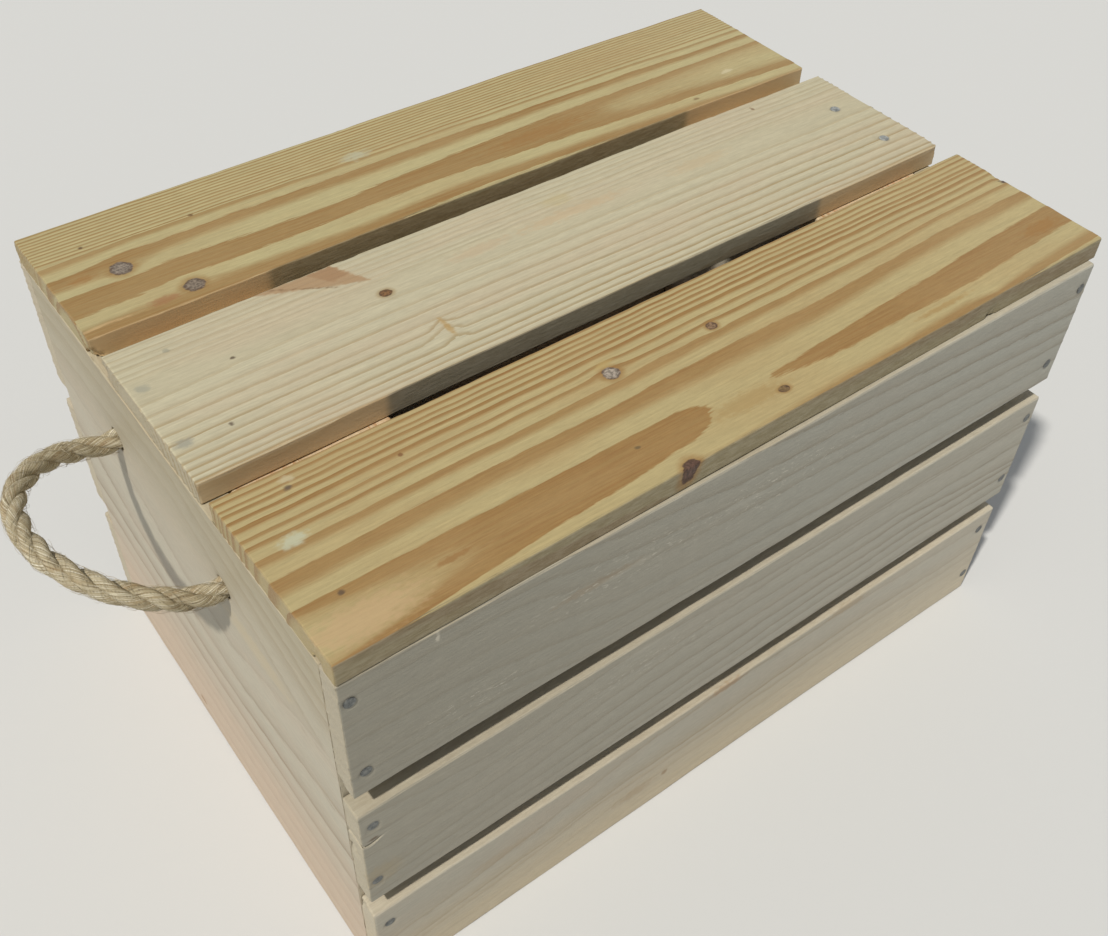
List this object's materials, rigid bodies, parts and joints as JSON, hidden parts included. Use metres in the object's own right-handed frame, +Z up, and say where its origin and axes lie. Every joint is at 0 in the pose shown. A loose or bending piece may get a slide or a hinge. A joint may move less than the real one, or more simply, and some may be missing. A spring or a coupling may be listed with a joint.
{
  "type": "shipping crate",
  "caption": "Slatted wooden shipping crate with a lift-off boarded lid on two battens, solid end panels and a knotted rope handle at each end.",
  "frame": {"origin": "centre of the base, on the surface that the crate stands on", "axes": "+X along the crate to the right end, +Y to the back, +Z up"},
  "size_m": [0.8589, 0.46, 0.407],
  "materials": {
    "lid_wood": "bare warm yellow pine with wide orange-brown grain",
    "pale_wood": "bare cream pine with fine brown grain lines",
    "slat_wood": "bare grey-beige pine, slightly rough",
    "panel_wood": "bare pinkish-beige pine, planed",
    "frame_wood": "bare pine, rough sawn",
    "nail_steel": "dull blue-grey nail heads",
    "rope": "three-strand manila rope with stray fibres"
  },
  "bodies": {
    "box": {"end_panel_left": "panel_wood", "end_panel_right": "panel_wood", "front_slat_bottom": "slat_wood", "front_slat_middle": "slat_wood", "front_slat_top": "slat_wood", "back_slat_bottom": "slat_wood", "back_slat_middle": "slat_wood", "back_slat_top": "slat_wood", "floor_cleat_left": "frame_wood", "floor_cleat_right": "frame_wood", "floor_board_front": "frame_wood", "floor_board_middle": "frame_wood", "floor_board_back": "frame_wood", "front_slat_nails_left": "nail_steel", "front_slat_nails_right": "nail_steel", "back_slat_nails_left": "nail_steel", "back_slat_nails_right": "nail_steel", "floor_cleat_nails_left": "nail_steel", "floor_cleat_nails_right": "nail_steel", "floor_board_nails_left": "nail_steel", "floor_board_nails_right": "nail_steel", "rope_ends_left": "rope", "rope_ends_right": "rope", "rope_knots_left": "rope", "rope_knots_right": "rope"},
    "lid": {"lid_board_front": "lid_wood", "lid_board_middle": "pale_wood", "lid_board_back": "lid_wood", "lid_batten_left": "frame_wood", "lid_batten_right": "frame_wood", "lid_batten_nails_left": "nail_steel", "lid_batten_nails_right": "nail_steel", "lid_top_nails": "nail_steel"},
    "handle_left": {"rope_handle_left": "rope"},
    "handle_right": {"rope_handle_right": "rope"}
  },
  "joints": [
    {"name": "lid_lift", "type": "slide", "parent": "box", "child": "lid", "axis": [0, 0, 1], "range_m": [0, 0.25]},
    {"name": "handle_left_swing", "type": "hinge", "parent": "box", "child": "handle_left", "pos_m": [-0.344, 0.007, 0.317], "axis": [0, 1, 0], "range_deg": [-115, 65]},
    {"name": "handle_right_swing", "type": "hinge", "parent": "box", "child": "handle_right", "pos_m": [0.344, 0.007, 0.317], "axis": [0, -1, 0], "range_deg": [-70, 110]}
  ]
}
